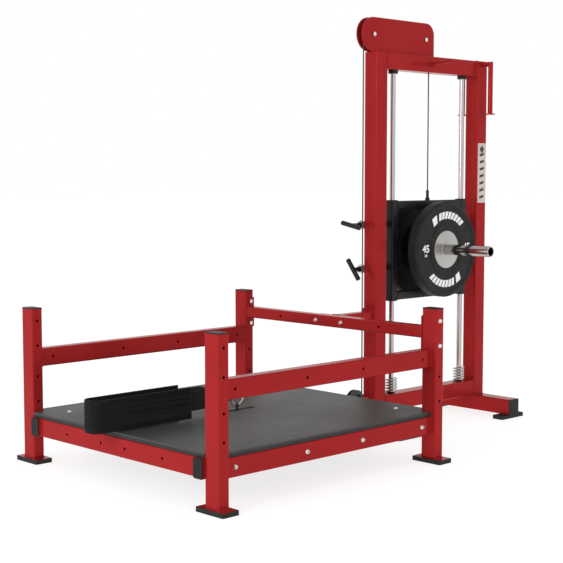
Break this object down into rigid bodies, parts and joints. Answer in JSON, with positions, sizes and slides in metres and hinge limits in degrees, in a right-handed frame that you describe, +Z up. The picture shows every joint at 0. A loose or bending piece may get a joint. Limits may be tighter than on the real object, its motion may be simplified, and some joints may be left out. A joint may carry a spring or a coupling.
{
  "type": "hip thrust machine",
  "caption": "Platform with hand rails and a mat, and a weight tower whose plate carriage lifts by a cable over pulleys as a hip belt is pushed up",
  "frame": {"origin": "on the floor, under the centre of the whole machine's box", "axes": "+X from the belt's end of the platform to the weight tower, +Y the left side of a user who faces the tower, +Z up"},
  "size_m": [2.444, 1.308, 1.898],
  "materials": {
    "red paint": "gloss",
    "black paint": "satin",
    "chrome": "polished",
    "steel": "satin",
    "pulley plastic": "satin",
    "cap plastic": "matte",
    "plate rubber": "satin",
    "pad rubber": "matte",
    "deck wood": "matte",
    "cable jacket": "satin",
    "belt leather": "matte",
    "belt webbing": "matte",
    "label": "satin"
  },
  "bodies": {
    "frame": {"post_front_left": "red paint", "post_front_right": "red paint", "post_rear_left": "red paint", "post_rear_right": "red paint", "foot_plates": "red paint", "hand_rail_left": "red paint", "hand_rail_right": "red paint", "side_beam_left": "red paint", "side_beam_right": "red paint", "inner_beams": "red paint", "cross_beams": "red paint", "spine_plates": "red paint", "end_rail": "red paint", "link_beam": "red paint", "rail_flanges": "red paint", "tower_post_front": "red paint", "tower_post_rear": "red paint", "tower_top_beam": "red paint", "tower_base_beam": "red paint", "tower_cross_feet": "red paint", "head_plate_left": "red paint", "head_plate_right": "red paint", "storage_hooks": "red paint", "storage_peg": "red paint", "tee_sleeves": "black paint", "rod_collars": "black paint", "guide_rods": "chrome", "bumper_springs": "steel", "frame_fasteners": "steel", "pulley_axles": "steel", "pulley_bearings": "steel", "tube_caps": "cap plastic", "foot_pads": "pad rubber", "deck_mat": "pad rubber", "deck_board": "deck wood", "cable_main_run": "cable jacket", "side_label": "label"},
    "carriage": {"carriage_sides": "black paint", "carriage_bars": "black paint", "carriage_centre_post": "black paint", "guide_bushes": "cap plastic", "weight_horn": "chrome", "horn_collars": "black paint", "carriage_cable_fitting": "black paint", "cable_carriage_run": "cable jacket"},
    "plate_left": {"bumper_plate_left": "plate rubber", "plate_hub_left": "steel"},
    "plate_right": {"bumper_plate_right": "plate rubber", "plate_hub_right": "steel"},
    "belt": {"belt_pad": "belt leather", "belt_webbing": "belt webbing", "belt_ring": "chrome", "belt_swivel": "black paint", "cable_belt_run": "cable jacket"},
    "pulley_head_front": {"pulley_head_front": "pulley plastic"},
    "pulley_head_rear": {"pulley_head_rear": "pulley plastic"},
    "pulley_base_rear": {"pulley_base_rear": "pulley plastic"},
    "pulley_base_front": {"pulley_base_front": "pulley plastic"},
    "tee_upper": {"tee_handle_upper": "black paint"},
    "tee_lower": {"tee_handle_lower": "black paint"}
  },
  "joints": [
    {"name": "carriage_slide", "type": "slide", "parent": "frame", "child": "carriage", "axis": [0, 0, 1], "range_m": [0, 0.55], "deforming": ["cable_carriage_run"]},
    {"name": "belt_lift", "type": "slide", "parent": "frame", "child": "belt", "axis": [0, 0, 1], "range_m": [0, 0.55], "deforming": ["cable_belt_run"]},
    {"name": "plate_left_slide", "type": "slide", "parent": "carriage", "child": "plate_left", "axis": [0, 1, 0], "range_m": [0, 0.25]},
    {"name": "plate_right_slide", "type": "slide", "parent": "carriage", "child": "plate_right", "axis": [0, -1, 0], "range_m": [0, 0.25]},
    {"name": "pulley_head_rear_spin", "type": "hinge", "parent": "frame", "child": "pulley_head_rear", "pos_m": [0.716, 0, 1.8215], "axis": [0, 1, 0], "range_deg": [-670, 0]},
    {"name": "pulley_head_front_spin", "type": "hinge", "parent": "frame", "child": "pulley_head_front", "pos_m": [0.354, 0, 1.8215], "axis": [0, 1, 0], "range_deg": [-670, 0]},
    {"name": "pulley_base_rear_spin", "type": "hinge", "parent": "frame", "child": "pulley_base_rear", "pos_m": [0.258, 0, 0.158], "axis": [0, 1, 0], "range_deg": [0, 670]},
    {"name": "pulley_base_front_spin", "type": "hinge", "parent": "frame", "child": "pulley_base_front", "pos_m": [-0.417, 0, 0.158], "axis": [0, 1, 0], "range_deg": [0, 670]},
    {"name": "tee_upper_pull", "type": "slide", "parent": "frame", "child": "tee_upper", "axis": [-1, 0, 0], "range_m": [0, 0.03], "stiffness_N_per_m": 500, "springref_m": -0.01},
    {"name": "tee_lower_pull", "type": "slide", "parent": "frame", "child": "tee_lower", "axis": [-1, 0, 0], "range_m": [0, 0.03], "stiffness_N_per_m": 500, "springref_m": -0.01}
  ],
  "couplings": [
    {"joint": "belt_lift", "follows": "carriage_slide", "ratio": 1},
    {"joint": "pulley_head_rear_spin", "follows": "carriage_slide", "rad_per_m": -20.833},
    {"joint": "pulley_head_front_spin", "follows": "carriage_slide", "rad_per_m": -20.833},
    {"joint": "pulley_base_rear_spin", "follows": "carriage_slide", "rad_per_m": 20.833},
    {"joint": "pulley_base_front_spin", "follows": "carriage_slide", "rad_per_m": 20.833}
  ]
}
